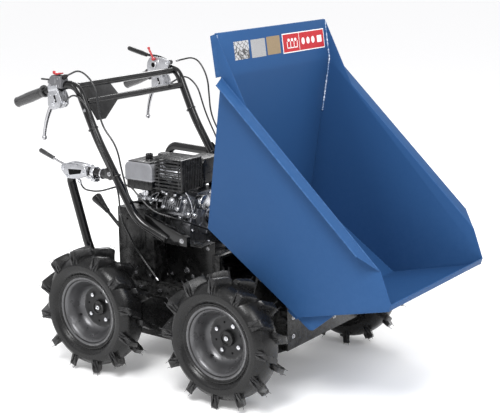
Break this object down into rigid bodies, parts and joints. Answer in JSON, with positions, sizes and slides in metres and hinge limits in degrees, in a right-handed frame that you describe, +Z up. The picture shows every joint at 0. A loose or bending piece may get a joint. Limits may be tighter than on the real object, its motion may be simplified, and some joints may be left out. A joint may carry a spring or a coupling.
{
  "type": "power wheelbarrow",
  "caption": "Walk-behind petrol mini dumper: tipping sheet-steel tub on a lugged-tyre chassis, with engine, tube handle, hand levers and cables.",
  "frame": {"origin": "middle of the machine's box, on the ground under the tyres", "axes": "+X forward to the tub, +Y to the machine's left, +Z up"},
  "size_m": [1.4759, 0.808, 1.1162],
  "materials": {
    "black_paint": "satin black enamel",
    "tub_blue": "satin blue enamel",
    "tyre": "dull rubber",
    "rim_grey": "grey enamel",
    "cast_silver": "cast",
    "steel": "zinc plated",
    "gearbox_iron": "cast",
    "black_plastic": "moulded",
    "filter_grey": "moulded",
    "grip_rubber": "moulded",
    "housing_grey": "moulded",
    "red_plastic": "moulded",
    "cable_sheath": "sheath"
  },
  "bodies": {
    "root": {"chassis_frame": "black_paint", "rear_axle_tube": "black_paint", "front_axle_tube": "black_paint", "engine_deck": "black_paint", "rear_cover": "black_paint", "handle_leg_right": "black_paint", "handle_leg_left": "black_paint", "brace_right": "black_paint", "brace_left": "black_paint", "handle_crossbars": "black_paint", "valve_cover": "black_paint", "crankcase": "cast_silver", "cylinder": "cast_silver", "carburettor": "cast_silver", "lever_perch_right": "cast_silver", "lever_perch_left": "cast_silver", "drive_lever_bracket": "cast_silver", "release_perch": "cast_silver", "pivot_pin": "steel", "muffler": "steel", "gearbox": "gearbox_iron", "air_filter_case": "black_plastic", "recoil_starter": "black_plastic", "fuel_tank": "black_plastic", "muffler_guard": "black_plastic", "air_filter_cover": "filter_grey", "grip_right": "grip_rubber", "grip_left": "grip_rubber", "stop_buffer": "grip_rubber", "switch_housing": "housing_grey", "cable_throttle": "cable_sheath", "cable_steering_right": "cable_sheath", "cable_steering_left": "cable_sheath", "cable_drive": "cable_sheath", "cable_release": "cable_sheath"},
    "tub": {"tub_pan": "tub_blue", "tub_side_right": "tub_blue", "tub_side_left": "tub_blue", "tub_subframe": "tub_blue"},
    "wheel_rear_right": {"tyre_rear_right": "tyre", "rim_rear_right": "rim_grey"},
    "wheel_rear_left": {"tyre_rear_left": "tyre", "rim_rear_left": "rim_grey"},
    "wheel_front_right": {"tyre_front_right": "tyre", "rim_front_right": "rim_grey"},
    "wheel_front_left": {"tyre_front_left": "tyre", "rim_front_left": "rim_grey"},
    "steering_right": {"steering_lever_right": "cast_silver"},
    "steering_left": {"steering_lever_left": "cast_silver"},
    "drive_control": {"drive_lever": "black_plastic"},
    "lock": {"lock_catch": "red_plastic"},
    "throttle": {"throttle_lever": "black_plastic"},
    "switch": {"stop_switch": "red_plastic"},
    "gear": {"gear_lever": "black_plastic"},
    "release": {"release_lever": "steel"},
    "latch": {"latch_hook": "steel"},
    "pulley": {"drive_pulley": "steel"},
    "recoil": {"recoil_handle": "black_plastic"},
    "cap": {"fuel_cap": "black_plastic"},
    "filter_knob": {"air_filter_knob": "black_plastic"}
  },
  "joints": [
    {"name": "tub_tip", "type": "hinge", "parent": "root", "child": "tub", "pos_m": [0.21805, 0, 0.36], "axis": [0, 1, 0], "range_deg": [-33.9, 0]},
    {"name": "wheel_rear_right_spin", "type": "hinge", "parent": "root", "child": "wheel_rear_right", "pos_m": [-0.33195, -0.35, 0.205], "axis": [0, 1, 0], "continuous": true},
    {"name": "wheel_rear_left_spin", "type": "hinge", "parent": "root", "child": "wheel_rear_left", "pos_m": [-0.33195, 0.35, 0.205], "axis": [0, 1, 0], "continuous": true},
    {"name": "wheel_front_right_spin", "type": "hinge", "parent": "root", "child": "wheel_front_right", "pos_m": [0.19905, -0.35, 0.205], "axis": [0, 1, 0], "continuous": true},
    {"name": "wheel_front_left_spin", "type": "hinge", "parent": "root", "child": "wheel_front_left", "pos_m": [0.19905, 0.35, 0.205], "axis": [0, 1, 0], "continuous": true},
    {"name": "steering_lever_right_squeeze", "type": "hinge", "parent": "root", "child": "steering_right", "pos_m": [-0.55995, -0.259, 0.852], "axis": [0, 1, 0], "range_deg": [0, 35], "stiffness_Nm_per_rad": 1, "springref_deg": -11.46},
    {"name": "steering_lever_left_squeeze", "type": "hinge", "parent": "root", "child": "steering_left", "pos_m": [-0.55995, 0.259, 0.852], "axis": [0, 1, 0], "range_deg": [0, 35], "stiffness_Nm_per_rad": 1, "springref_deg": -11.46},
    {"name": "drive_lever_press", "type": "hinge", "parent": "root", "child": "drive_control", "pos_m": [-0.49495, 0.25, 0.94], "axis": [0, 1, 0], "range_deg": [-18, 0], "stiffness_Nm_per_rad": 2, "springref_deg": 11.46},
    {"name": "lock_catch_turn", "type": "hinge", "parent": "root", "child": "lock", "pos_m": [-0.55395, 0.227, 0.95], "axis": [0, 1, 0], "range_deg": [0, 40]},
    {"name": "throttle_lever_turn", "type": "hinge", "parent": "root", "child": "throttle", "pos_m": [-0.57695, -0.259, 0.928], "axis": [0, 0, 1], "range_deg": [-30, 30]},
    {"name": "stop_switch_rock", "type": "hinge", "parent": "root", "child": "switch", "pos_m": [-0.54295, -0.26, 0.9463], "axis": [0, 1, 0], "range_deg": [0, 10]},
    {"name": "gear_lever_shift", "type": "hinge", "parent": "root", "child": "gear", "pos_m": [-0.36595, -0.13, 0.385], "axis": [0, 1, 0], "range_deg": [-12, 12]},
    {"name": "release_lever_lift", "type": "hinge", "parent": "root", "child": "release", "pos_m": [-0.52795, -0.25, 0.64], "axis": [0, 1, 0], "range_deg": [0, 20]},
    {"name": "latch_hook_turn", "type": "hinge", "parent": "root", "child": "latch", "pos_m": [-0.03595, 0, 0.44], "axis": [0, 1, 0], "range_deg": [0, 30]},
    {"name": "drive_pulley_spin", "type": "hinge", "parent": "root", "child": "pulley", "pos_m": [-0.11395, 0, 0.478], "axis": [1, 0, 0], "continuous": true},
    {"name": "recoil_pull", "type": "slide", "parent": "root", "child": "recoil", "axis": [-1, 0, 0], "range_m": [0, 0.25], "stiffness_N_per_m": 30},
    {"name": "fuel_cap_turn", "type": "hinge", "parent": "root", "child": "cap", "pos_m": [-0.34795, 0.036, 0.653], "axis": [0, 0, 1], "range_deg": [0, 90]},
    {"name": "filter_knob_turn", "type": "hinge", "parent": "root", "child": "filter_knob", "pos_m": [-0.30195, -0.095, 0.674], "axis": [0, 0, 1], "continuous": true}
  ],
  "couplings": [
    {"joint": "wheel_front_right_spin", "follows": "wheel_rear_right_spin", "ratio": 1},
    {"joint": "wheel_front_left_spin", "follows": "wheel_rear_left_spin", "ratio": 1},
    {"joint": "latch_hook_turn", "follows": "release_lever_lift", "ratio": 1.5}
  ]
}
